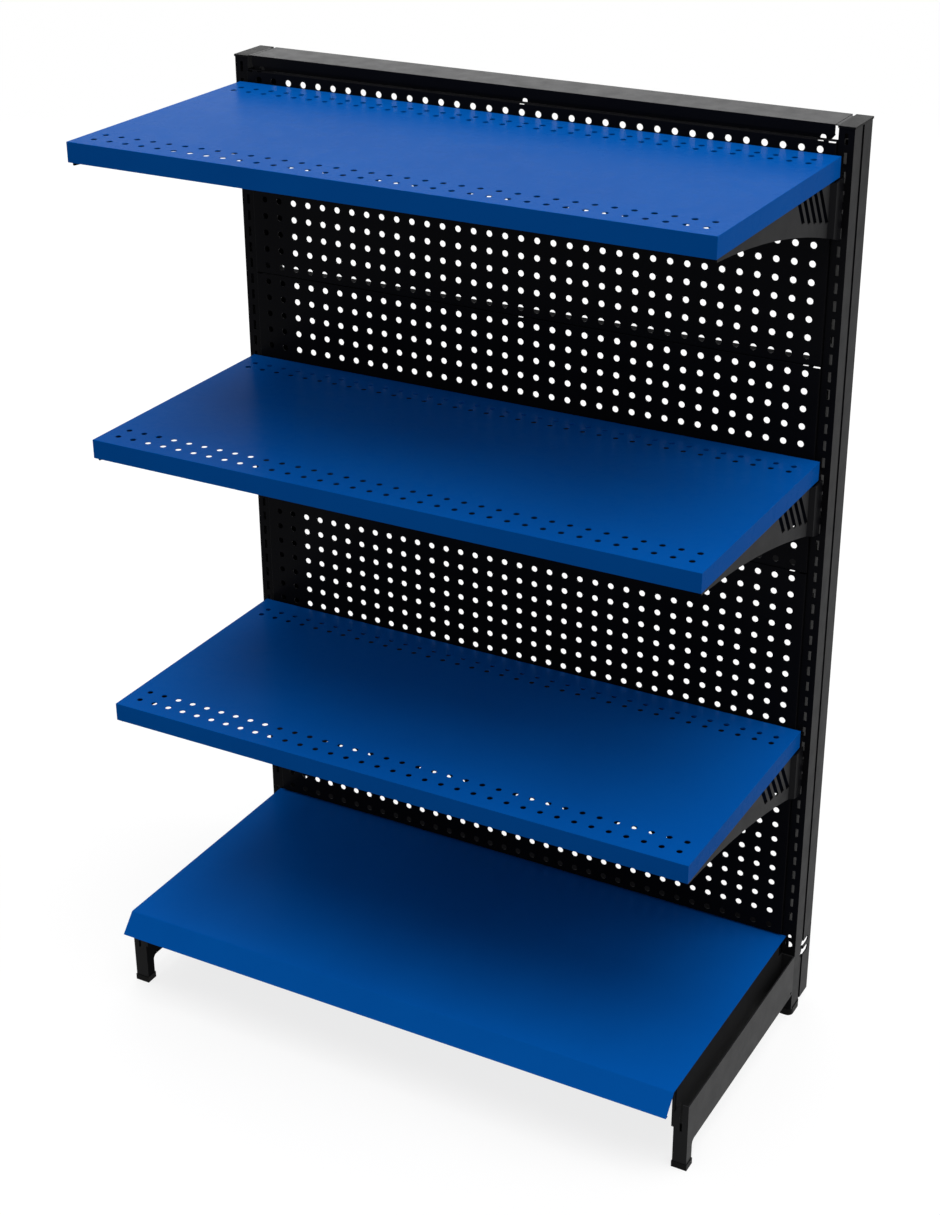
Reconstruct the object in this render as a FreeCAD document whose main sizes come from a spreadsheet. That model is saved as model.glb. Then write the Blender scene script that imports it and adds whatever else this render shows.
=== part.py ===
"""Single-sided steel shelving bay: slotted uprights, perforated-back panels, hooked shelves.

Millimetres. +Z is up, the front faces -Y, and the origin is the middle of the footprint on the
floor. Every piece is drawn with y = 0 on the front face of the back panels, and its placement
moves it back by the distance that centres the footprint.
"""
import FreeCAD, Part
import math
import os
import re

import Sketcher

# Driving dimensions, grouped by the piece that they belong to.
SIZES = {
    # Overall and uprights
    "unit_height": 1400,
    "unit_width": 960,
    "post_width": 22,
    "post_depth": 68,
    "post_wall": 2,
    "post_lip": 4,
    "post_bottom": 12,
    "groove_width": 8,
    "groove_depth": 1.5,
    "groove_back": 32.5,
    "panel_proud": 5,
    # Slot column in the front of the uprights
    "slot_pitch": 25,
    "slot_length": 15,
    "slot_width": 4.5,
    "slot_first": 183,
    "slot_top_drop": 17,
    "foot_slot_first": 58,
    # Openings at the base of the uprights
    "front_hole_small": 7,
    "front_hole_small_height": 146.5,
    "front_hole_large": 11,
    "front_hole_large_height": 131.7,
    "side_slot_length": 34,
    "side_slot_back": 41,
    "side_slot_small": 10,
    "side_slot_small_height": 114.3,
    "side_slot_large": 11.5,
    "side_slot_large_height": 98.6,
    "window_front": 21,
    "window_depth": 30,
    "window_bottom": 92,
    "window_height": 40,
    # Caps and feet
    "cap_thickness": 3,
    "cap_overhang": 1,
    "plug_height": 14,
    "plug_clearance": 0.3,
    "pad_length": 38,
    "pad_corner": 9,
    "foot_cap_floor": 3,
    "foot_cap_height": 10,
    # Back panels
    "peg_pitch": 25.65,
    "peg_columns": 35,
    "panel_bottom": 148.9,
    "panel_side_gap": 1,
    "panel_seam": 0.5,
    "panel_sheet": 1,
    "panel_return": 35,
    "panel_top_return": 12,
    "panel_lip": 28,
    "panel_lip_inset": 15,
    "panel_rail_gap": 5.3,
    "notch_width": 8,
    "notch_height": 1.3,
    "relief_width": 10,
    "relief_height": 2.2,
    "panel_hook_inset": 40,
    "panel_hook_back": 21.5,
    # Bottom rail
    "bottom_rail_drop": 48,
    # Top rail
    "rail_sheet": 1.5,
    "rail_front": 8,
    "rail_height": 14.6,
    "rail_end_gap": 6,
    "rail_slit": 1,
    "rail_strip_gap": 0.3,
    "rail_arch": 8.4,
    "rail_corner": 4.5,
    "rail_plate_overlap": 30,
    "rail_plate_height": 60,
    "rail_plate_setback": 10,
    "rail_plate_gap": 1,
    "rail_hook_drop": 34,
    # Hooks that hang in slots
    "hook_neck": 8,
    "hook_nose": 5,
    "hook_length": 3,
    "hook_clearance": 0.3,
    # Shelves and brackets
    "shelf_width": 934,
    "shelf_depth": 407,
    "shelf_rear_gap": 4,
    "shelf_flange": 28,
    "shelf_rear_flange": 20,
    "shelf_lip_return": 4,
    "shelf_sheet": 1,
    "shelf_rise": 5,
    "bracket_plate": 2.5,
    "bracket_flange_gap": 1.4,
    "bracket_lip_gap": 2,
    "bracket_tip_depth": 33.4,
    "bracket_root_depth": 114,
    "bracket_sag": 13,
    "bracket_step": 30,
    "joggle_start": 32,
    "joggle_run": 10,
    "bracket_hook_drop": 55,
    "slit_top": 26,
    "slit_width": 10.5,
    "slit_pitch": 22,
    "slit_last_back": 36,
    "slit_last_depth": 80.6,
    "slit_step": 5.4,
    "tongue_depth": 6,
    "tongue_sheet": 2,
    # Base shelf
    "deck_top": 146.3,
    "deck_width": 928,
    "deck_tuck": 4,
    "deck_rail_gap": 0.3,
    "deck_depth": 419,
    "deck_sheet": 1.2,
    "deck_lip_run": 25.5,
    "deck_lip_drop": 28.9,
    "deck_lip_return": 6,
    # Base feet
    "foot_front": 401,
    "foot_wall": 2,
    "foot_bottom": 41,
    "foot_top": 112.6,
    "foot_slot_width": 3.8,
    "foot_slot_bottom": 65,
    "foot_chamfer_width": 8,
    "foot_chamfer_height": 17,
    "leg_depth": 18,
    "leg_fillet": 8,
    "ledge_thickness": 3.5,
    "ledge_bottom": 70,
    "ledge_rear_gap": 12.4,
    "foot_hole": 5,
    "foot_hole_inset": 6,
    # How far a cut runs past the faces that it opens
    "overrun": 5,
}

# Place of each shelf along the slot column, and the lean of the bracket slits.
SHELF_SLOT_SHARES = {"lower": 0.271, "middle": 0.625, "upper": 0.979}
SLOT_SLACK_SHARE = 0.01
FOOT_SLOT_COUNT = 2
SLIT_COUNT = 5
SLIT_LEAN_SHARE = 0.62
SIDES = {"left": -1, "right": 1}
PANEL_NAMES = ("bottom", "lower", "upper", "top")

# Places that several pieces share, each written in the driving dimensions.
SLOT_LAST = f"floor((unit_height - slot_top_drop - slot_first) / slot_pitch + {SLOT_SLACK_SHARE})"
FACE_Y = "(deck_depth + deck_lip_run - panel_proud - post_depth - cap_overhang) / 2"
POST_MIDDLE = "((unit_width - post_width) / 2)"
POST_INNER = "(unit_width / 2 - post_width)"
POST_REAR = "(panel_proud + post_depth)"
POST_TOP = "(unit_height - cap_thickness)"
SHELF_FRONT = "(shelf_rear_gap + shelf_depth)"
BRACKET_OUTER = "(shelf_width / 2 - shelf_sheet - bracket_flange_gap)"
BRACKET_FRONT = "(shelf_rear_gap + shelf_depth - shelf_sheet - shelf_lip_return - bracket_lip_gap)"
PANEL_TOP = "(unit_height - rail_height - panel_rail_gap)"
PANEL_HEIGHT = f"(({PANEL_TOP} - panel_bottom) / {len(PANEL_NAMES)})"
PANEL_EDGE = "(unit_width / 2 - post_width - panel_side_gap)"
RAIL_HOOK_Y = "((rail_front + panel_proud + post_depth) / 2)"
RAIL_SEAT = "(unit_height - rail_hook_drop)"
DECK_UNDER = "(deck_top - deck_sheet)"

doc = FreeCAD.newDocument("shelving_bay")
sheet = doc.addObject("Spreadsheet::Sheet", "dims")
for row, (alias, value) in enumerate(SIZES.items(), start=1):
    sheet.set(f"A{row}", alias)
    sheet.set(f"B{row}", str(value))
    sheet.setAlias(f"B{row}", alias)
doc.recompute()


def in_sheet(text):
    """Expression in which every driving dimension is read from the sheet."""
    return re.sub(r"[a-z_]+", lambda m: f"dims.{m[0]}" if m[0] in SIZES else m[0], text)


def size(alias):
    """Value that a driving dimension has in the sheet."""
    return float(sheet.get(alias))


def bind(thing, **expressions):
    """Tie properties to expressions; a double underscore stands for the dot in a path."""
    for path, text in expressions.items():
        thing.setExpression(path.replace("__", "."), in_sheet(text))


def new_body(label, height="0"):
    body = doc.addObject("PartDesign::Body", label)
    body.Label = label
    bind(body, Placement__Base__y=FACE_Y, Placement__Base__z=height)
    return body


def origin_feature(body, role):
    return next(item for item in body.Origin.OriginFeatures if item.Role == role)


def new_sketch(body, plane, lift):
    """Empty sketch parallel to an origin plane, lifted along that plane's normal."""
    sketch = body.newObject("Sketcher::SketchObject", f"{body.Name}_sketch")
    sketch.AttachmentSupport = [(origin_feature(body, plane), "")]
    sketch.MapMode = "FlatFace"
    bind(sketch, AttachmentOffset__Base__z=lift)
    return sketch


def pin(sketch, kind, geometry, position, start, text):
    """Dimension from the sketch origin to a point, driven by an expression."""
    index = sketch.addConstraint(Sketcher.Constraint(kind, -1, 1, geometry, position, start))
    sketch.setExpression(f"Constraints[{index}]", in_sheet(text))


def polygons(body, plane, loops, lift="0"):
    """Sketch of closed polygons, with every corner pinned by a pair of expressions."""
    sketch = new_sketch(body, plane, lift)
    for loop in loops:
        first = sketch.GeometryCount
        count = len(loop)
        turns = [2 * math.pi * corner / count for corner in range(count)]
        ring = [FreeCAD.Vector(math.cos(turn), math.sin(turn), 0) for turn in turns]
        for corner in range(count):
            sketch.addGeometry(Part.LineSegment(ring[corner], ring[(corner + 1) % count]), False)
        for corner in range(count):
            following = first + (corner + 1) % count
            sketch.addConstraint(Sketcher.Constraint("Coincident", first + corner, 2, following, 1))
        for corner, (across, upward) in enumerate(loop):
            pin(sketch, "DistanceX", first + corner, 1, ring[corner].x, across)
            pin(sketch, "DistanceY", first + corner, 1, ring[corner].y, upward)
    return sketch


def circles(body, plane, places, lift="0"):
    """Sketch of circles, each given by its centre and its diameter."""
    sketch = new_sketch(body, plane, lift)
    for across, upward, diameter in places:
        centre = FreeCAD.Vector(1, 1, 0)
        index = sketch.addGeometry(Part.Circle(centre, FreeCAD.Vector(0, 0, 1), 1), False)
        pin(sketch, "DistanceX", index, 3, centre.x, across)
        pin(sketch, "DistanceY", index, 3, centre.y, upward)
        width = sketch.addConstraint(Sketcher.Constraint("Diameter", index, 2))
        sketch.setExpression(f"Constraints[{width}]", in_sheet(diameter))
    return sketch


def rectangle(left, right, low, high):
    return [(left, low), (right, low), (right, high), (left, high)]


def oblong(across, upward, length, height):
    """Long opening with its corners cut back, given by its centre."""
    left, right = f"{across} - {length} / 2", f"{across} + {length} / 2"
    low, high = f"{upward} - {height} / 2", f"{upward} + {height} / 2"
    cut = f"{height} / 3"
    return [
        (f"{left} + {cut}", low), (f"{right} - {cut}", low),
        (right, f"{low} + {cut}"), (right, f"{high} - {cut}"),
        (f"{right} - {cut}", high), (f"{left} + {cut}", high),
        (left, f"{high} - {cut}"), (left, f"{low} + {cut}"),
    ]


def feature(body, kind, sketch, length):
    """Pad or pocket of a sketch, half of its length to each side of the sketch plane."""
    made = body.newObject(f"PartDesign::{kind}", f"{body.Name}_{kind.lower()}")
    made.Profile = sketch
    made.SideType = "Symmetric"
    bind(made, Length=length)
    return made


def repeat(body, cut, axis, spacing, count):
    """Row of copies of a cut along an axis of the body."""
    pattern = body.newObject("PartDesign::LinearPattern", f"{body.Name}_row")
    pattern.Originals = [cut]
    pattern.Direction = (origin_feature(body, axis), [""])
    pattern.Mode = "Spacing"
    bind(pattern, Offset=spacing, Occurrences=count)
    body.Tip = pattern
    return pattern


def round_edges(body, base, radius, chosen):
    """Fillet on the edges of a feature that a test picks out."""
    doc.recompute()
    edges = [f"Edge{i}" for i, edge in enumerate(base.Shape.Edges, start=1) if chosen(edge)]
    fillet = body.newObject("PartDesign::Fillet", f"{body.Name}_fillet")
    fillet.Base = (base, edges)
    bind(fillet, Radius=radius)
    body.Tip = fillet
    return fillet


def is_upright(edge):
    """True for a straight edge that runs along Z."""
    box = edge.BoundBox
    return box.XLength + box.YLength < box.ZLength * 1e-6


def hook_outline(wall_face, into, seat):
    """Corners of a hook that passes a wall at a slot and drops behind it, from the top down.

    wall_face is the near face of the wall, into is 1 or -1 along the axis that enters it, and
    seat is the lower end of the slot.
    """
    far = f"{wall_face} + {into} * (post_wall + hook_clearance)"
    tip = f"{far} + {into} * hook_length"
    return [
        (wall_face, f"{seat} + hook_neck"),
        (tip, f"{seat} + hook_neck"),
        (tip, f"{seat} - hook_nose"),
        (far, f"{seat} - hook_nose"),
        (far, seat),
        (wall_face, seat),
    ]


def rooted(corners, root):
    """Hook corners carried back to the piece that the hook stands on."""
    return [(root, corners[0][1]), *corners[1:-1], (root, corners[-1][1])]


def panel_base(index):
    """Lower end of a panel's share of the height, counted from the bottom panel."""
    return f"(panel_bottom + {index} * {PANEL_HEIGHT})"


def panel_seats(index):
    """Lower ends of the slots that hold a panel, near its lower and its upper end."""
    span = f"({PANEL_HEIGHT} - 2 * panel_hook_inset)"
    return [
        f"({panel_base(index)} + panel_hook_inset + {end} * {span} - slot_length / 2)"
        for end in (0, 1)
    ]


def bottom_rail_seat():
    """Lower end of the slot that holds the bottom rail, near the middle of its height."""
    return f"({panel_base(0)} - (bottom_rail_drop + slot_length) / 2)"


def make_upright(name, side):
    """Roll-formed C section, open at the rear, with slots in its front and inner walls."""
    body = new_body(f"{name}_upright")
    inner, outer = f"{side} * {POST_INNER}", f"{side} * unit_width / 2"
    inner_in, outer_in = f"{inner} + {side} * post_wall", f"{outer} - {side} * post_wall"
    inner_lip, outer_lip = f"{inner} + {side} * post_lip", f"{outer} - {side} * post_lip"
    dent, dent_in = f"{outer} - {side} * groove_depth", f"{outer_in} - {side} * groove_depth"
    rear, rear_in = POST_REAR, f"{POST_REAR} - post_wall"
    front_in = "panel_proud + post_wall"
    groove_front = "panel_proud + groove_back - groove_width / 2"
    groove_rear = "panel_proud + groove_back + groove_width / 2"
    section = [
        (outer_lip, rear_in), (outer_lip, rear), (outer, rear),
        (outer, groove_rear), (dent, groove_rear), (dent, groove_front), (outer, groove_front),
        (outer, "panel_proud"), (inner, "panel_proud"), (inner, rear),
        (inner_lip, rear), (inner_lip, rear_in), (inner_in, rear_in), (inner_in, front_in),
        (outer_in, front_in), (outer_in, f"{groove_front} - post_wall"),
        (dent_in, f"{groove_front} - post_wall"), (dent_in, f"{groove_rear} + post_wall"),
        (outer_in, f"{groove_rear} + post_wall"), (outer_in, rear_in),
    ]
    middle_z = f"({POST_TOP} + post_bottom) / 2"
    profile = polygons(body, "XY_Plane", [section], lift=middle_z)
    feature(body, "Pad", profile, f"{POST_TOP} - post_bottom")

    across = f"{side} * {POST_MIDDLE}"
    for first, count in (("slot_first", f"{SLOT_LAST} + 1"), ("foot_slot_first", f"{FOOT_SLOT_COUNT}")):
        window = rectangle(
            f"{across} - slot_width / 2", f"{across} + slot_width / 2",
            f"{first} - slot_length / 2", f"{first} + slot_length / 2",
        )
        slot = polygons(body, "XZ_Plane", [window], lift="-panel_proud")
        cut = feature(body, "Pocket", slot, "2 * post_wall + overrun")
        repeat(body, cut, "Z_Axis", "slot_pitch", count)

    def inner_slots(middle, seats):
        windows = [rectangle(
            f"{middle} - slot_width / 2", f"{middle} + slot_width / 2", seat, f"{seat} + slot_length",
        ) for seat in seats]
        sketch = polygons(body, "YZ_Plane", windows, lift=inner)
        return feature(body, "Pocket", sketch, "2 * post_wall + overrun")

    panel_slots = inner_slots("panel_hook_back", panel_seats(0))
    repeat(body, panel_slots, "Z_Axis", PANEL_HEIGHT, f"{len(PANEL_NAMES)}")
    inner_slots("panel_hook_back", [bottom_rail_seat()])
    inner_slots(RAIL_HOOK_Y, [RAIL_SEAT])
    window_front = "panel_proud + window_front"
    window = polygons(body, "YZ_Plane", [rectangle(
        window_front, f"{window_front} + window_depth",
        "window_bottom", "window_bottom + window_height",
    )], lift=inner)
    feature(body, "Pocket", window, "2 * post_wall + overrun")

    front_holes = circles(body, "XZ_Plane", [
        (across, "front_hole_small_height", "front_hole_small"),
        (across, "front_hole_large_height", "front_hole_large"),
    ], lift="-panel_proud")
    feature(body, "Pocket", front_holes, "2 * post_wall + overrun")
    side_slots = polygons(body, "YZ_Plane", [
        oblong("panel_proud + side_slot_back", height, "side_slot_length", tall)
        for height, tall in (("side_slot_small_height", "side_slot_small"),
                             ("side_slot_large_height", "side_slot_large"))
    ], lift=outer)
    feature(body, "Pocket", side_slots, "2 * (post_wall + groove_depth) + overrun")


def make_upright_cap(name, side):
    """Moulded cap: a plate over the end of the upright and a plug inside it."""
    body = new_body(f"{name}_upright_cap")
    inner, outer = f"{side} * {POST_INNER}", f"{side} * unit_width / 2"
    plate = polygons(body, "XY_Plane", [rectangle(
        f"{inner} - {side} * cap_overhang", f"{outer} + {side} * cap_overhang",
        "panel_proud - cap_overhang", f"{POST_REAR} + cap_overhang",
    )], lift="unit_height - cap_thickness / 2")
    feature(body, "Pad", plate, "cap_thickness")
    fit = "(post_wall + plug_clearance)"
    plug = polygons(body, "XY_Plane", [rectangle(
        f"{inner} + {side} * {fit}", f"{outer} - {side} * ({fit} + groove_depth)",
        f"panel_proud + {fit} + hook_clearance + hook_length", f"{RAIL_HOOK_Y} - slot_width",
    )], lift=f"{POST_TOP} - plug_height / 2")
    feature(body, "Pad", plug, "plug_height")


def make_rear_foot(name, side):
    """Moulded pad under the upright, with a plug up inside it."""
    body = new_body(f"{name}_rear_foot")
    across = f"{side} * {POST_MIDDLE}"
    half = "(post_width / 2 + cap_overhang)"
    front = "(panel_proud - cap_overhang)"
    pad = polygons(body, "XY_Plane", [rectangle(
        f"{across} - {half}", f"{across} + {half}", front, f"{front} + pad_length",
    )], lift="post_bottom / 2")
    slab = feature(body, "Pad", pad, "post_bottom")
    round_edges(body, slab, "pad_corner", is_upright)
    fit = "(post_wall + plug_clearance)"
    inner, outer = f"{side} * {POST_INNER}", f"{side} * unit_width / 2"
    plug = polygons(body, "XY_Plane", [rectangle(
        f"{inner} + {side} * {fit}", f"{outer} - {side} * ({fit} + groove_depth)",
        f"panel_proud + {fit}", f"{front} + pad_length - post_wall",
    )], lift="post_bottom + plug_height / 2")
    feature(body, "Pad", plug, "plug_height")


def make_top_rail():
    """Inverted channel between the rail plates, its front set back along the lower edge."""
    body = new_body("top_rail")
    top, low = "unit_height", "unit_height - rail_height"
    foot = f"({PANEL_TOP} - panel_seam + rail_strip_gap)"
    front, rear = "rail_front", f"{POST_REAR}"
    step, inside = "rail_front + rail_sheet", "rail_front + 2 * rail_sheet"
    section = [
        (step, foot), (step, low), (front, low), (front, top), (rear, top), (rear, low),
        (f"{rear} - rail_sheet", low), (f"{rear} - rail_sheet", f"{top} - rail_sheet"),
        (step, f"{top} - rail_sheet"), (step, f"{low} + rail_sheet"),
        (inside, f"{low} + rail_sheet"), (inside, foot),
    ]
    end = f"({POST_INNER} - rail_end_gap)"
    profile = polygons(body, "YZ_Plane", [section])
    feature(body, "Pad", profile, f"2 * {end}")
    reach = "(peg_pitch * (peg_columns - 1) / 2)"
    arches = circles(body, "XZ_Plane", [
        (place, f"{low} - rail_arch / 2", "rail_arch") for place in (f"-{reach}", "0", reach)
    ], lift=f"-({inside})")
    feature(body, "Pocket", arches, "2 * rail_sheet")
    corners = polygons(body, "XZ_Plane", [[
        (f"{side} * {end}", low), (f"{side} * ({end} + overrun)", low),
        (f"{side} * ({end} + overrun)", foot), (f"{side} * ({end} - rail_corner)", foot),
    ] for side in SIDES.values()], lift=f"-({inside})")
    feature(body, "Pocket", corners, "2 * rail_sheet")


def make_rail_plate(name, side):
    """Plate at the end of the rail: a strip along its top, a tongue under it and a hook."""
    body = new_body(f"{name}_rail_plate")
    face = f"({side} * ({POST_INNER} - rail_plate_gap))"
    inside = f"({face} - {side} * rail_sheet)"
    top = "unit_height"
    tongue_top = "unit_height - rail_sheet"
    strip = f"{side} * ({POST_INNER} - rail_end_gap + rail_slit)"
    tongue_end = f"{side} * ({POST_INNER} - rail_end_gap - rail_plate_overlap)"
    front = "panel_return + panel_sheet"
    rear = f"{POST_REAR} - rail_plate_setback"
    bottom = "unit_height - rail_plate_height"
    section = [
        (tongue_end, f"{tongue_top} - rail_sheet"), (inside, f"{tongue_top} - rail_sheet"),
        (inside, bottom), (face, bottom), (face, top), (strip, top),
        (strip, tongue_top), (tongue_end, tongue_top),
    ]
    profile = polygons(body, "XZ_Plane", [section], lift=f"-({front} + {rear}) / 2")
    feature(body, "Pad", profile, f"{rear} - ({front})")
    cover = polygons(body, "XZ_Plane", [rectangle(strip, face, tongue_top, top)],
                     lift=f"-(rail_front + {front}) / 2")
    feature(body, "Pad", cover, f"{front} - rail_front")
    corners = rooted(hook_outline(f"({side} * {POST_INNER})", side, RAIL_SEAT), inside)
    hook = polygons(body, "XZ_Plane", [corners], lift=f"-{RAIL_HOOK_Y}")
    feature(body, "Pad", hook, "rail_sheet")


def fold_tray(body, low, high):
    """Sheet between the uprights with a return on all four sides, open at the rear."""
    blank = polygons(body, "XZ_Plane", [rectangle(
        f"-{PANEL_EDGE}", PANEL_EDGE, low, high,
    )], lift="-panel_return / 2")
    feature(body, "Pad", blank, "panel_return")
    hollow = polygons(body, "XZ_Plane", [rectangle(
        f"panel_sheet - {PANEL_EDGE}", f"{PANEL_EDGE} - panel_sheet",
        f"{low} + panel_sheet", f"{high} - panel_sheet",
    )], lift="-panel_return - panel_sheet")
    feature(body, "Pocket", hollow, "2 * panel_return")


def add_side_hooks(body, seats):
    """Tabs bent out of the side returns, hooked in the inner walls of the uprights."""
    for side in SIDES.values():
        wall, root = f"({side} * {POST_INNER})", f"{side} * ({PANEL_EDGE} - panel_sheet)"
        hooks = [rooted(hook_outline(wall, side, seat), root) for seat in seats]
        tabs = polygons(body, "XZ_Plane", hooks, lift="-panel_hook_back")
        feature(body, "Pad", tabs, "panel_sheet")


def make_panel(index):
    """Back panel with a shallow top fold, lips on its side folds, and notches in its top edge."""
    body = new_body(f"{PANEL_NAMES[index]}_back_panel")
    low = panel_base(index)
    high = f"({low} + {PANEL_HEIGHT} - panel_seam)"
    fold_tray(body, low, high)
    trim = polygons(body, "XZ_Plane", [rectangle(
        f"panel_sheet - {PANEL_EDGE}", f"{PANEL_EDGE} - panel_sheet",
        f"{high} - 2 * panel_sheet", f"{high} + overrun",
    )], lift="-(panel_top_return + panel_return + overrun) / 2")
    feature(body, "Pocket", trim, "panel_return + overrun - panel_top_return")
    lips = polygons(body, "XZ_Plane", [rectangle(
        f"{side} * ({PANEL_EDGE} - panel_lip)", f"{side} * {PANEL_EDGE}",
        f"{low} + panel_lip_inset", f"{high} - panel_lip_inset",
    ) for side in SIDES.values()], lift="panel_sheet / 2 - panel_return")
    feature(body, "Pad", lips, "panel_sheet")
    reach = "(peg_pitch * (peg_columns - 1) / 2)"
    openings = [rectangle(
        f"{place} - notch_width / 2", f"{place} + notch_width / 2",
        f"{high} - notch_height", f"{high} + overrun",
    ) for place in (f"-{reach}", "0", reach)]
    openings += [rectangle(
        f"{side} * ({PANEL_EDGE} - relief_width)", f"{side} * ({PANEL_EDGE} + overrun)",
        f"{high} - relief_height", f"{high} + overrun",
    ) for side in SIDES.values()]
    notches = polygons(body, "XZ_Plane", openings)
    feature(body, "Pocket", notches, "2 * panel_sheet + overrun")
    add_side_hooks(body, panel_seats(index))


def make_bottom_rail():
    """Folded rail that ties the uprights below the panels and carries the rear of the deck."""
    body = new_body("bottom_rail")
    high = f"({DECK_UNDER} - deck_rail_gap)"
    fold_tray(body, f"({panel_base(0)} - bottom_rail_drop)", high)
    add_side_hooks(body, [bottom_rail_seat()])


def shelf_height(level):
    """Top of a shelf, a little above the slot that its bracket is set by."""
    return f"(slot_first + round({SHELF_SLOT_SHARES[level]} * {SLOT_LAST}) * slot_pitch + shelf_rise)"


def make_shelf(level):
    """Folded tray, open below, with a short return along the front lip."""
    body = new_body(f"{level}_shelf", shelf_height(level))
    front, rear = f"-{SHELF_FRONT}", "-shelf_rear_gap"
    blank = polygons(body, "YZ_Plane", [rectangle(front, rear, "-shelf_flange", "0")])
    feature(body, "Pad", blank, "shelf_width")
    inside = f"{front} + shelf_sheet"
    hollow = polygons(body, "YZ_Plane", [[
        (inside, "-shelf_sheet"), (inside, "shelf_sheet - shelf_flange"),
        (f"{inside} + shelf_lip_return", "shelf_sheet - shelf_flange"),
        (f"{inside} + shelf_lip_return", "-shelf_flange - overrun"),
        (f"{rear} - shelf_sheet", "-shelf_flange - overrun"), (f"{rear} - shelf_sheet", "-shelf_sheet"),
    ]])
    feature(body, "Pocket", hollow, "shelf_width - 2 * shelf_sheet")
    trim = polygons(body, "YZ_Plane", [rectangle(
        f"{rear} - 2 * shelf_sheet", f"{rear} + overrun",
        "-shelf_flange - overrun", "-shelf_rear_flange",
    )])
    feature(body, "Pocket", trim, "shelf_width - 2 * shelf_sheet")


def make_bracket(level, name, side):
    """Plate bracket: joggled out to the slot column, with a hollow lower edge, hooks, and slits
    whose tongues stand inward along their rear edges."""
    body = new_body(f"{level}_{name}_bracket", shelf_height(level))
    outer = f"{side} * {BRACKET_OUTER}"
    inner = f"{outer} - {side} * bracket_plate"
    hook_outer = f"{side} * ({POST_MIDDLE} + bracket_plate / 2)"
    hook_inner = f"{side} * ({POST_MIDDLE} - bracket_plate / 2)"
    front = f"-{BRACKET_FRONT}"
    bend, straight = "-joggle_start", "joggle_run - joggle_start"
    tip = "panel_proud + post_wall + hook_clearance + hook_length"
    strip = [
        (inner, front), (outer, front), (outer, bend), (hook_outer, straight), (hook_outer, tip),
        (hook_inner, tip), (hook_inner, straight), (inner, bend),
    ]
    root = "-bracket_root_depth"
    profile = polygons(body, "XY_Plane", [strip], lift=f"{root} / 2")
    feature(body, "Pad", profile, "bracket_root_depth")

    hooks = []
    for turn in (0, 1):
        seat = f"(-bracket_hook_drop - {turn} * slot_pitch - slot_length / 2)"
        hooks += hook_outline("panel_proud", 1, seat)
    outline = [
        (front, "-shelf_sheet"), (bend, "-shelf_sheet"), (bend, "-bracket_step"),
        ("panel_proud", "-bracket_step"), *hooks, ("panel_proud", root), (front, root),
    ]
    frame = rectangle(
        f"{front} - overrun", f"{tip} + overrun", f"{root} - overrun", "overrun",
    )
    waste = polygons(body, "YZ_Plane", [frame, outline], lift=outer)
    feature(body, "Pocket", waste, "4 * bracket_plate + 2 * post_width")

    run, fall = f"(panel_proud + {BRACKET_FRONT})", "(bracket_root_depth - bracket_tip_depth)"
    chord = f"sqrt({run} ^ 2 + {fall} ^ 2)"
    radius = f"({chord} ^ 2 / (8 * bracket_sag) + bracket_sag / 2)"
    arm = f"({radius} - bracket_sag) / {chord}"
    centre_y = f"(panel_proud - {BRACKET_FRONT}) / 2 - {arm} * {fall}"
    centre_z = f"-(bracket_root_depth + bracket_tip_depth) / 2 - {arm} * {run}"
    belly = circles(body, "YZ_Plane", [(centre_y, centre_z, f"2 * {radius}")], lift=outer)
    feature(body, "Pocket", belly, "4 * bracket_plate + 2 * post_width")

    slits, tongues = [], []
    for slit in range(SLIT_COUNT):
        foot_y = f"(-slit_last_back - {slit} * slit_pitch)"
        foot_z = f"({slit} * slit_step - slit_last_depth)"
        shift = f"{SLIT_LEAN_SHARE} * (-slit_top - {foot_z})"
        slits.append([
            (f"{foot_y} - slit_width / 2", foot_z), (f"{foot_y} + slit_width / 2", foot_z),
            (f"{foot_y} + slit_width / 2 - {shift}", "-slit_top"),
            (f"{foot_y} - slit_width / 2 - {shift}", "-slit_top"),
        ])
        fold = f"{foot_y} + slit_width / 2"
        tongues.append([
            (fold, foot_z), (f"{fold} + tongue_sheet", foot_z),
            (f"{fold} + tongue_sheet - {shift}", "-slit_top"), (f"{fold} - {shift}", "-slit_top"),
        ])
    windows = polygons(body, "YZ_Plane", slits, lift=outer)
    feature(body, "Pocket", windows, "4 * bracket_plate")
    folds = polygons(body, "YZ_Plane", tongues,
                     lift=f"{inner} + {side} * (bracket_plate / 2 - tongue_depth) / 2")
    feature(body, "Pad", folds, "tongue_depth + bracket_plate / 2")


def make_base_shelf():
    """Deck that runs under the back panels, folded at the front into a sloped lip with a return."""
    body = new_body("base_shelf")
    top, rear, bend = "deck_top", "deck_tuck", "-deck_depth"
    lip, lip_low = "-deck_depth - deck_lip_run", "deck_top - deck_lip_drop"
    section = [
        (rear, DECK_UNDER), (rear, top), (bend, top), (lip, lip_low),
        (f"{lip} + deck_lip_return", lip_low), (f"{lip} + deck_lip_return", f"{lip_low} + deck_sheet"),
        (f"{lip} + 2 * deck_sheet", f"{lip_low} + deck_sheet"), (f"{bend} + deck_sheet / 2", DECK_UNDER),
    ]
    profile = polygons(body, "YZ_Plane", [section])
    feature(body, "Pad", profile, "deck_width")


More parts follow.
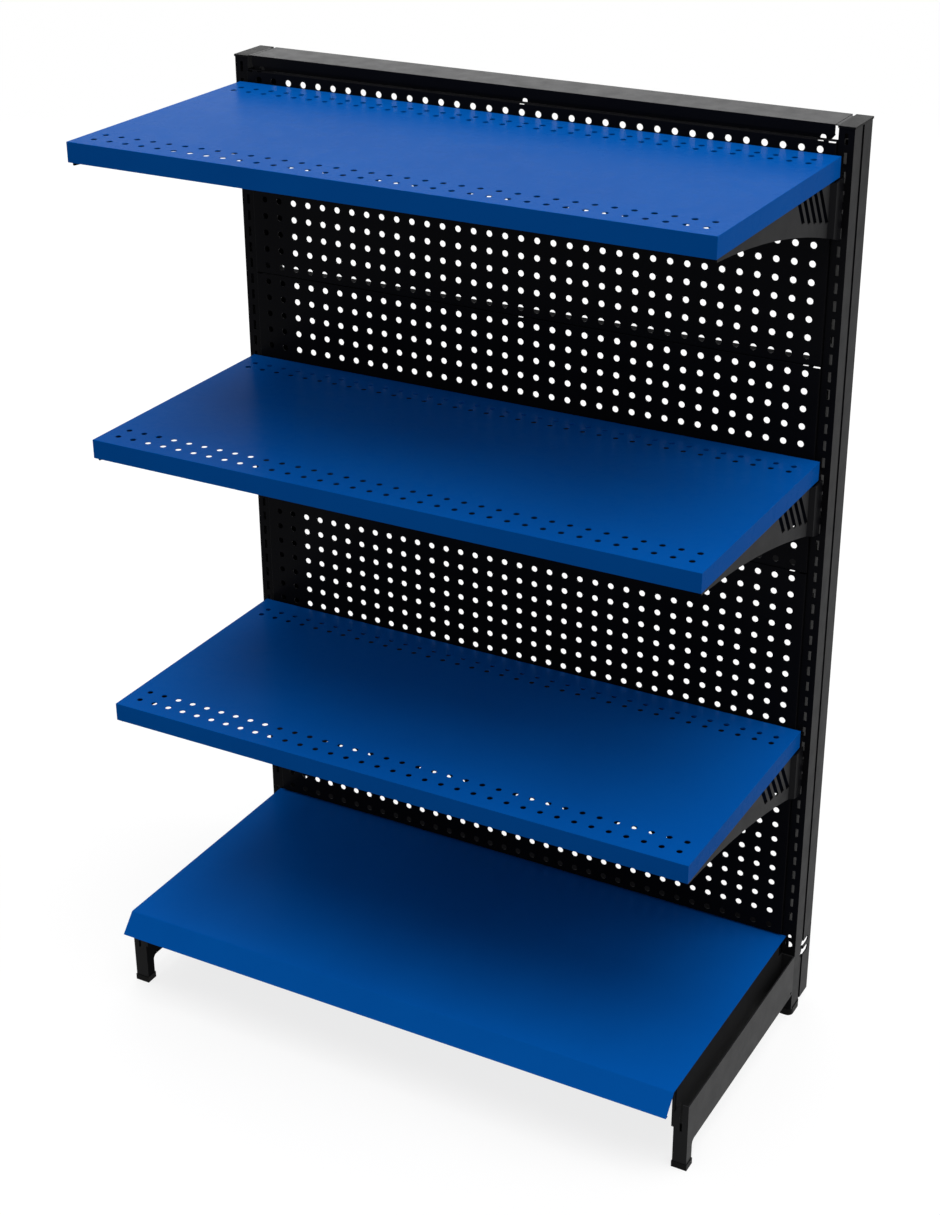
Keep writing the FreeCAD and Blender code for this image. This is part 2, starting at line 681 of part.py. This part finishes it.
def make_base_foot(name, side):
    """Folded channel, open at the top, with a front leg and a taller inner wall under the deck."""
    body = new_body(f"{name}_base_foot")
    outer, inner = f"{side} * unit_width / 2", f"{side} * {POST_INNER}"
    middle = f"{side} * {POST_MIDDLE}"
    front, rear = "-foot_front", "panel_proud"
    leg_rear = "leg_depth - foot_front"
    deck_rear = "-ledge_rear_gap"
    sole = [
        (front, "foot_cap_floor"), (leg_rear, "foot_cap_floor"), (leg_rear, "foot_bottom"),
        (rear, "foot_bottom"), (rear, "foot_top"),
    ]
    outer_top = [(front, "foot_top")]
    inner_top = [(deck_rear, "foot_top"), (deck_rear, DECK_UNDER), (front, DECK_UNDER)]
    for wall, top in ((f"{outer} - {side} * foot_wall / 2", outer_top),
                      (f"{inner} + {side} * foot_wall / 2", inner_top)):
        plate = polygons(body, "YZ_Plane", [sole + top], lift=wall)
        feature(body, "Pad", plate, "foot_wall")

    ledge = polygons(body, "YZ_Plane", [rectangle(
        front, deck_rear, "ledge_bottom", DECK_UNDER,
    )], lift=f"{inner} - {side} * ledge_thickness / 2")
    feature(body, "Pad", ledge, "ledge_thickness")

    far, near = f"{outer} - {side} * foot_wall", f"{inner} + {side} * foot_wall"
    slot_far = f"{middle} + {side} * foot_slot_width / 2"
    slot_near = f"{middle} - {side} * foot_slot_width / 2"
    face = [
        (far, "foot_cap_floor"), (far, "foot_top"), (slot_far, "foot_top"),
        (slot_far, "foot_slot_bottom"), (slot_near, "foot_slot_bottom"),
        (slot_near, "foot_top"), (near, "foot_top"), (near, "foot_cap_floor"),
    ]
    front_wall = polygons(body, "XZ_Plane", [face], lift="foot_front - foot_wall / 2")
    feature(body, "Pad", front_wall, "foot_wall")
    leg_wall = polygons(body, "XZ_Plane", [rectangle(
        far, near, "foot_cap_floor", "foot_slot_bottom",
    )], lift=f"-({leg_rear} - foot_wall / 2)")
    feature(body, "Pad", leg_wall, "foot_wall")

    rear_wall = polygons(body, "XZ_Plane", [rectangle(
        far, near, "foot_bottom", "foot_top",
    )], lift="foot_wall / 2 - panel_proud")
    feature(body, "Pad", rear_wall, "foot_wall")
    hooks = []
    for turn in range(FOOT_SLOT_COUNT):
        seat = f"(foot_slot_first + {turn} * slot_pitch - slot_length / 2)"
        hooks.append(rooted(hook_outline("panel_proud", 1, seat), "panel_proud - foot_wall"))
    tabs = polygons(body, "YZ_Plane", hooks, lift=middle)
    feature(body, "Pad", tabs, "foot_wall")

    corner = polygons(body, "XZ_Plane", [[
        (inner, f"{DECK_UNDER} + overrun"),
        (inner, "foot_top - foot_chamfer_height"),
        (f"{inner} + {side} * foot_chamfer_width", "foot_top"),
        (f"{inner} + {side} * foot_chamfer_width", f"{DECK_UNDER} + overrun"),
    ]], lift="foot_front")
    feature(body, "Pocket", corner, "2 * foot_wall")
    hole = circles(body, "YZ_Plane", [(
        "panel_proud - foot_hole_inset", "foot_bottom + foot_hole_inset", "foot_hole",
    )], lift=outer)
    drilled = feature(body, "Pocket", hole, "2 * foot_wall + overrun")

    corner_y = size("leg_depth") - size("foot_front")

    def is_leg_corner(edge):
        box = edge.BoundBox
        off_y = abs(box.YMin - corner_y) + abs(box.YMax - corner_y)
        off_z = abs(box.ZMin - size("foot_bottom")) + abs(box.ZMax - size("foot_bottom"))
        return off_y + off_z < size("plug_clearance")

    round_edges(body, drilled, "leg_fillet", is_leg_corner)


def make_foot_cap(name, side):
    """Moulded cap on the foot of the front leg."""
    body = new_body(f"{name}_front_foot_cap")
    outer, inner = f"{side} * unit_width / 2", f"{side} * {POST_INNER}"
    front, rear = "-foot_front", "leg_depth - foot_front"
    block = polygons(body, "XY_Plane", [rectangle(
        f"{inner} - {side} * cap_overhang", f"{outer} + {side} * cap_overhang",
        f"{front} - cap_overhang", f"{rear} + cap_overhang",
    )], lift="foot_cap_height / 2")
    feature(body, "Pad", block, "foot_cap_height")
    socket = polygons(body, "XY_Plane", [rectangle(inner, outer, front, rear)],
                      lift="foot_cap_height")
    feature(body, "Pocket", socket, "2 * (foot_cap_height - foot_cap_floor)")


for name, side in SIDES.items():
    make_upright(name, side)
    make_upright_cap(name, side)
    make_rear_foot(name, side)
    make_rail_plate(name, side)
    make_base_foot(name, side)
    make_foot_cap(name, side)
    for level in SHELF_SLOT_SHARES:
        make_bracket(level, name, side)
make_top_rail()
make_bottom_rail()
for index in range(len(PANEL_NAMES)):
    make_panel(index)
for level in SHELF_SLOT_SHARES:
    make_shelf(level)
make_base_shelf()
doc.recompute()

for item in doc.Objects:
    if {"Invalid", "Error"} & set(item.State):
        raise RuntimeError(f"{item.Label}: {item.State}")
bodies = [item for item in doc.Objects if item.TypeId == "PartDesign::Body"]
for body in bodies:
    if body.Shape.isNull() or not body.Shape.isValid():
        raise RuntimeError(f"{body.Label} has no valid shape")
os.makedirs("parts", exist_ok=True)
for body in bodies:
    body.Shape.exportStep(f"parts/{body.Label}.step")
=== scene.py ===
"""Steel shelving bay with a perforated back, in a white studio."""

import math

import bmesh
import bpy
from mathutils import Matrix, Vector


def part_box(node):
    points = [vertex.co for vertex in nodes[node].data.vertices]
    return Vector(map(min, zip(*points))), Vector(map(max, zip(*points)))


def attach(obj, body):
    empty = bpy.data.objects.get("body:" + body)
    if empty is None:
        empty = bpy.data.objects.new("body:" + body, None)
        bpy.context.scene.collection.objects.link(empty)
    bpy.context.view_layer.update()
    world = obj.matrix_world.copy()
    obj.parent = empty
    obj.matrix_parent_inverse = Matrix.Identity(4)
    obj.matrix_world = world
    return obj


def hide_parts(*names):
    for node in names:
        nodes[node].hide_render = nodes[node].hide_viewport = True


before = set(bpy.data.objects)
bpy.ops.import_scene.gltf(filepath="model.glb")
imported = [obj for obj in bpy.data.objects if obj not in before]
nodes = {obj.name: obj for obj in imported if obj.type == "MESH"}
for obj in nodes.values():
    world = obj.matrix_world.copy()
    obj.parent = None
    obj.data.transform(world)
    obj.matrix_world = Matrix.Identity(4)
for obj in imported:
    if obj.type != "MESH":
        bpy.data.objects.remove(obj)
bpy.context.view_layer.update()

# Holes, in metres. The rows of a shelf are measured from its front and its rear edge.
PEG_PITCH, PEG_COLUMNS, PEG_ROWS, PEG_RADIUS = 0.02565, 35, 12, 0.0047
SHELF_PITCH, SHELF_COLUMNS, SHELF_RADIUS = 0.026, 35, 0.0044
SHELF_FRONT_ROWS, SHELF_REAR_ROWS = (0.027, 0.053), (0.0334, 0.053)
HOLE_SIDES, DRILL_LENGTH = 20, 0.006

# Bends: radius in metres, and which edges of a sheet are bends.
BEND, BEND_SEGMENTS = 0.0012, 3
SHORTEST_BEND, LEAST_BEND_ANGLE, LEAST_FACE_RADII = 0.05, math.radians(20), 6
WELD_DISTANCE, FLAT_ANGLE = 1e-6, math.radians(0.5)

# Coats: colour, deep colour, roughness, refractive index, scale of grain, strength of relief.
BLACK = ((0.006, 0.006, 0.007), (0.004, 0.004, 0.005), 0.32, 1.088, 1100.0, 0.10)
# Base feet: the same black coat painted lighter than BLACK, as painted light on the feet.
PAINTED_LIGHT_FOOT_BLACK = ((0.022, 0.022, 0.023), (0.018, 0.018, 0.019), 0.32, 1.10, 1100.0, 0.10)
BLUE = ((0.001, 0.092, 0.400), (0.001, 0.084, 0.375), 0.28, 1.03, 1000.0, 0.06)
PLASTIC = ((0.006, 0.006, 0.006), (0.003, 0.003, 0.003), 0.48, 1.12, 1800.0, 0.20)
RELIEF_DEPTH = 0.0004
ROUGHNESS_DOWN, ROUGHNESS_UP = 0.04, 0.05

# Noise: scale, detail and roughness. The grain has the scale of its coat.
DRIFT_NOISE, RUB_NOISE = (5.0, 4.0, 0.6), (38.0, 5.0, 0.65)
GRAIN_DETAIL, GRAIN_ROUGHNESS = 2.0, 0.5
NOISE_LOW, NOISE_HIGH = 0.3, 0.7

# Gloss of the coat, and the low gloss painted as shade in folds and channels, and how far behind
# an outer face that painted shade starts.
FULL_GLOSS, PAINTED_SHADE_GLOSS, GLOSS_FADE = 0.5, 0.03, 0.001
FOLD_START, CHANNEL_SIDE_START, CHANNEL_FRONT_START = 0.0015, 0.0016, 0.0006

# Studio: strengths of the surroundings, greys of the floor, and lights in metres and watts.
WHITE = (1.0, 1.0, 1.0, 1.0)
AMBIENT_STRENGTH, BACKDROP_STRENGTH = 0.34, 1.0
FLOOR_SIZE, FLOOR_GLOW = 60.0, 0.80
PLAIN_GREY, SHADED_GREY = (0.25, 0.25, 0.25, 1.0), (0.22, 0.22, 0.22, 1.0)
SUN_STRENGTH, SUN_ANGLE, SUN_TRAVEL = 1.8, math.radians(50.0), (-0.16, 0.16, -1.0)
SOFTBOXES = [
    # name, place, aim, width, power
    ("rear_light", (-2.2, 4.0, 3.0), (0.0, 0.0, 1.0), 4.0, 65.0),
    ("left_light", (-3.6, -0.3, 2.3), (0.0, 0.0, 0.8), 2.0, 18.0),
    ("right_light", (3.2, 0.6, 2.9), (0.0, 0.0, 0.8), 2.0, 32.0),
]

# Camera: place in metres, turn, tilt and roll, sensor and lens in millimetres.
CAMERA_PLACE = (1.3702, -2.4431, 2.0678)
CAMERA_TURN, CAMERA_TILT = math.radians(28.716), math.radians(25.880)
CAMERA_ROLL = math.radians(-0.223)
SENSOR_WIDTH, FOCAL_LENGTH = 36.0, 63.67
SHIFT_X, SHIFT_Y, CLIP_END = -0.00765, -0.01267, 200.0

BLACK_ENDINGS = ("upright", "bracket", "base_foot", "rail_plate", "_rail")
BLACK_NODES = [n for n in nodes if n.endswith(BLACK_ENDINGS)]
PLASTIC_NODES = [n for n in nodes if n.endswith(("cap", "rear_foot"))]
PANELS = [n for n in nodes if n.endswith("back_panel")]
SHELVES = ["lower_shelf", "middle_shelf", "upper_shelf"]
PANEL_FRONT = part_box(PANELS[0])[0][1]
FOOT_FRONT, FOOT_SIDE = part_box("right_base_foot")[0][1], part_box("right_base_foot")[1][0]


def shader_nodes(owner):
    """Empty node tree of a material or a world."""
    owner.use_nodes = True
    tree = owner.node_tree
    tree.nodes.clear()
    return tree


def add(tree, kind, **inputs):
    """New node with its input values or links set by input name, spaces written as underscores."""
    node = tree.nodes.new(kind)
    for name, value in inputs.items():
        socket = node.inputs[name.replace("_", " ")]
        if isinstance(value, bpy.types.NodeSocket):
            tree.links.new(value, socket)
        else:
            socket.default_value = value
    return node


def noise(tree, place, scale, detail, roughness):
    node = add(
        tree, "ShaderNodeTexNoise", Vector=place, Scale=scale, Detail=detail, Roughness=roughness,
    )
    return node.outputs["Fac"]


def spread(tree, value, low, high):
    """Noise value widened from its usual middle range to the range low to high."""
    node = add(
        tree, "ShaderNodeMapRange", Value=value, From_Min=NOISE_LOW, From_Max=NOISE_HIGH,
        To_Min=low, To_Max=high,
    )
    return node.outputs["Result"]


def fade(tree, value, start, low, high):
    """Goes from low to high over a short stretch of a coordinate."""
    node = add(
        tree, "ShaderNodeMapRange", Value=value, From_Min=start, From_Max=start + GLOSS_FADE,
        To_Min=low, To_Max=high,
    )
    return node.outputs["Result"]


def pick(tree, operation, first, second=None):
    """Result of a maths node with one or two linked inputs."""
    node = tree.nodes.new("ShaderNodeMath")
    node.operation = operation
    tree.links.new(first, node.inputs[0])
    if second is not None:
        tree.links.new(second, node.inputs[1])
    return node.outputs["Value"]


def coating(name, colour, deep, roughness, ior, grain, relief, gloss=None):
    """Powder coat or moulded plastic: fine grain in relief, slow drift in colour and in gloss.

    gloss makes a factor that takes the gloss away in some places, as painted shade that dims their
    reflections.
    """
    material = bpy.data.materials.new(name)
    tree = shader_nodes(material)
    place = tree.nodes.new("ShaderNodeTexCoord").outputs["Object"]
    drift = noise(tree, place, *DRIFT_NOISE)
    rub = noise(tree, place, *RUB_NOISE)
    peel = noise(tree, place, grain, GRAIN_DETAIL, GRAIN_ROUGHNESS)
    mix = add(tree, "ShaderNodeMix")
    mix.data_type = "RGBA"
    mix.inputs["A"].default_value = (*deep, 1.0)
    mix.inputs["B"].default_value = (*colour, 1.0)
    tree.links.new(spread(tree, drift, 0.0, 1.0), mix.inputs["Factor"])
    bump = add(tree, "ShaderNodeBump", Height=peel, Strength=relief, Distance=RELIEF_DEPTH)
    surface = add(
        tree, "ShaderNodeBsdfPrincipled", IOR=ior, Normal=bump.outputs["Normal"],
        Roughness=spread(tree, rub, roughness - ROUGHNESS_DOWN, roughness + ROUGHNESS_UP),
    )
    tree.links.new(mix.outputs["Result"], surface.inputs["Base Color"])
    if gloss is not None:
        tree.links.new(gloss(tree, place), surface.inputs["Specular IOR Level"])
    add(tree, "ShaderNodeOutputMaterial", Surface=surface.outputs["BSDF"])
    return material


def fold_painted_shade_gloss(tree, place):
    """Little gloss on the folds behind the face of a back panel: painted shade that darkens them.
    """
    depth = add(tree, "ShaderNodeSeparateXYZ", Vector=place).outputs["Y"]
    return fade(tree, depth, PANEL_FRONT + FOLD_START, FULL_GLOSS, PAINTED_SHADE_GLOSS)


def channel_painted_shade_gloss(tree, place):
    """Little gloss inside the channel of a base foot: painted shade that darkens its inner faces.
    """
    parts = add(tree, "ShaderNodeSeparateXYZ", Vector=place).outputs
    across = pick(tree, "ABSOLUTE", parts["X"])
    side = fade(tree, across, FOOT_SIDE - CHANNEL_SIDE_START, PAINTED_SHADE_GLOSS, FULL_GLOSS)
    front = fade(tree, parts["Y"], FOOT_FRONT + CHANNEL_FRONT_START, FULL_GLOSS, PAINTED_SHADE_GLOSS)
    return pick(tree, "MAXIMUM", side, front)


black = coating("black_powder_coat", *BLACK)
# Back panels: low gloss on the folds behind their face, as painted shade.
black_back_painted_shade = coating("black_powder_coat_back_painted_shade", *BLACK, gloss=fold_painted_shade_gloss)
black_channel_painted_light_and_shade = coating("black_powder_coat_channel_painted_light_and_shade", *PAINTED_LIGHT_FOOT_BLACK, gloss=channel_painted_shade_gloss)
blue = coating("blue_powder_coat", *BLUE)
plastic = coating("black_moulded_plastic", *PLASTIC)


def paint(obj, material):
    obj.data.materials.clear()
    obj.data.materials.append(material)


def place_in_scene(name, data):
    """New object in the scene that holds a mesh, a light or a camera."""
    made = bpy.data.objects.new(name, data)
    bpy.context.collection.objects.link(made)
    return made


def is_bend(edge):
    """True for a long outer edge between two wide faces of a folded sheet."""
    length = edge.calc_length()
    if len(edge.link_faces) != 2 or not edge.is_convex or length < SHORTEST_BEND:
        return False
    wide = all(face.calc_area() > LEAST_FACE_RADII * BEND * length for face in edge.link_faces)
    return wide and edge.calc_face_angle() > LEAST_BEND_ANGLE


def bent_copy(node, name):
    """Copy of a folded CAD sheet with the outer bends rounded."""
    mesh = nodes[node].data.copy()
    mesh.transform(nodes[node].matrix_world)
    work = bmesh.new()
    work.from_mesh(mesh)
    bmesh.ops.remove_doubles(work, verts=work.verts, dist=WELD_DISTANCE)
    bmesh.ops.dissolve_limit(
        work, angle_limit=FLAT_ANGLE, verts=work.verts, edges=work.edges, delimit=set(),
    )
    bmesh.ops.bevel(
        work, geom=[edge for edge in work.edges if is_bend(edge)], offset=BEND,
        segments=BEND_SEGMENTS, profile=0.5, affect="EDGES", clamp_overlap=True,
    )
    work.to_mesh(mesh)
    work.free()
    return place_in_scene(name, mesh)


def drill(obj, centres, axis, radius):
    """Cuts a round hole through a thin sheet at each centre."""
    turn = Vector((0, 0, 1)).rotation_difference(axis).to_matrix().to_4x4()
    work = bmesh.new()
    for centre in centres:
        bmesh.ops.create_cone(
            work, cap_ends=True, segments=HOLE_SIDES, radius1=radius, radius2=radius,
            depth=DRILL_LENGTH, matrix=Matrix.Translation(centre) @ turn,
        )
    mesh = bpy.data.meshes.new("drill")
    work.to_mesh(mesh)
    work.free()
    tool = place_in_scene("drill", mesh)
    cut = obj.modifiers.new("holes", "BOOLEAN")
    cut.operation, cut.solver, cut.object = "DIFFERENCE", "EXACT", tool
    depsgraph = bpy.context.evaluated_depsgraph_get()
    pierced = bpy.data.meshes.new_from_object(obj.evaluated_get(depsgraph))
    obj.modifiers.clear()
    obj.data = pierced
    bpy.data.objects.remove(tool)


def row(count, pitch):
    """Places of a row of holes about the middle."""
    return [(i - (count - 1) / 2) * pitch for i in range(count)]


for node in PANELS:
    low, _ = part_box(node)
    panel = bent_copy(node, f"{node}_perforated")
    drill(panel, [
        Vector((x, low[1], low[2] + (r + 0.5) * PEG_PITCH))
        for x in row(PEG_COLUMNS, PEG_PITCH) for r in range(PEG_ROWS)
    ], Vector((0, 1, 0)), PEG_RADIUS)
    paint(panel, black_back_painted_shade)
    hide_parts(node)
    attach(panel, "frame")

for node in SHELVES:
    low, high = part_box(node)
    shelf = bent_copy(node, f"{node}_perforated")
    lines = [low[1] + step for step in SHELF_FRONT_ROWS]
    lines += [high[1] - step for step in SHELF_REAR_ROWS]
    drill(shelf, [
        Vector((x, y, high[2])) for x in row(SHELF_COLUMNS, SHELF_PITCH) for y in lines
    ], Vector((0, 0, 1)), SHELF_RADIUS)
    paint(shelf, blue)
    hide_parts(node)
    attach(shelf, node)

deck = bent_copy("base_shelf", "base_shelf_bent")
paint(deck, blue)
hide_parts("base_shelf")
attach(deck, "base_shelf")

# Base feet: painted light in their lighter black, and painted shade in the low gloss inside the
# channel.
for node in BLACK_NODES:
    paint(nodes[node], black_channel_painted_light_and_shade if node.endswith("base_foot") else black)
for node in PLASTIC_NODES:
    paint(nodes[node], plastic)


def seen(tree):
    """1 for rays that show a surface to the viewer, directly or in a reflection."""
    path = tree.nodes.new("ShaderNodeLightPath").outputs
    total = path["Is Camera Ray"]
    for name in ("Is Glossy Ray", "Is Transmission Ray"):
        total = pick(tree, "MAXIMUM", total, path[name])
    return total


def either(tree, factor, no, yes):
    """Mixes two shaders by a factor."""
    mix = tree.nodes.new("ShaderNodeMixShader")
    tree.links.new(factor, mix.inputs[0])
    tree.links.new(no, mix.inputs[1])
    tree.links.new(yes, mix.inputs[2])
    return mix.outputs[0]


world = bpy.data.worlds.new("studio")
bpy.context.scene.world = world
tree = shader_nodes(world)
ambient = add(tree, "ShaderNodeBackground", Color=WHITE, Strength=AMBIENT_STRENGTH)
white = add(tree, "ShaderNodeBackground", Color=WHITE, Strength=BACKDROP_STRENGTH)
shown = either(tree, seen(tree), ambient.outputs[0], white.outputs[0])
add(tree, "ShaderNodeOutputWorld", Surface=shown)

bpy.ops.mesh.primitive_plane_add(size=FLOOR_SIZE)
floor = bpy.context.object
floor.name = "studio_floor"
pale = bpy.data.materials.new("pale_floor")
tree = shader_nodes(pale)
plain = add(tree, "ShaderNodeBsdfDiffuse", Color=PLAIN_GREY)
shaded = add(tree, "ShaderNodeBsdfDiffuse", Color=SHADED_GREY)
glow = add(tree, "ShaderNodeEmission", Color=WHITE, Strength=FLOOR_GLOW)
both = tree.nodes.new("ShaderNodeAddShader")
tree.links.new(shaded.outputs[0], both.inputs[0])
tree.links.new(glow.outputs[0], both.inputs[1])
shown = either(tree, seen(tree), plain.outputs[0], both.outputs[0])
add(tree, "ShaderNodeOutputMaterial", Surface=shown)
floor.data.materials.append(pale)


def facing(direction):
    """Rotation of a light that shines along a direction."""
    return direction.to_track_quat("-Z", "Y").to_euler()


sun = bpy.data.lights.new("overhead_light", "SUN")
sun.energy, sun.angle = SUN_STRENGTH, SUN_ANGLE
place_in_scene("overhead_light", sun).rotation_euler = facing(Vector(SUN_TRAVEL))
for name, place, aim, width, power in SOFTBOXES:
    lamp = bpy.data.lights.new(name, "AREA")
    lamp.shape, lamp.size, lamp.energy = "SQUARE", width, power
    holder = place_in_scene(name, lamp)
    holder.location = place
    holder.rotation_euler = facing(Vector(aim) - Vector(place))

ahead = Vector((
    -math.sin(CAMERA_TURN) * math.cos(CAMERA_TILT),
    math.cos(CAMERA_TURN) * math.cos(CAMERA_TILT),
    -math.sin(CAMERA_TILT),
))
level = Vector((math.cos(CAMERA_TURN), math.sin(CAMERA_TURN), 0.0))
upward = level.cross(ahead)
right = level * math.cos(CAMERA_ROLL) + upward * math.sin(CAMERA_ROLL)
above = upward * math.cos(CAMERA_ROLL) - level * math.sin(CAMERA_ROLL)
axes = Matrix((right, above, -ahead)).transposed().to_4x4()
lens = bpy.data.cameras.new("camera")
lens.sensor_width, lens.lens = SENSOR_WIDTH, FOCAL_LENGTH
lens.shift_x, lens.shift_y = SHIFT_X, SHIFT_Y
lens.clip_end = CLIP_END
camera = place_in_scene("camera", lens)
camera.matrix_world = Matrix.Translation(CAMERA_PLACE) @ axes
bpy.context.scene.camera = camera
bpy.context.scene.view_settings.view_transform = "Standard"
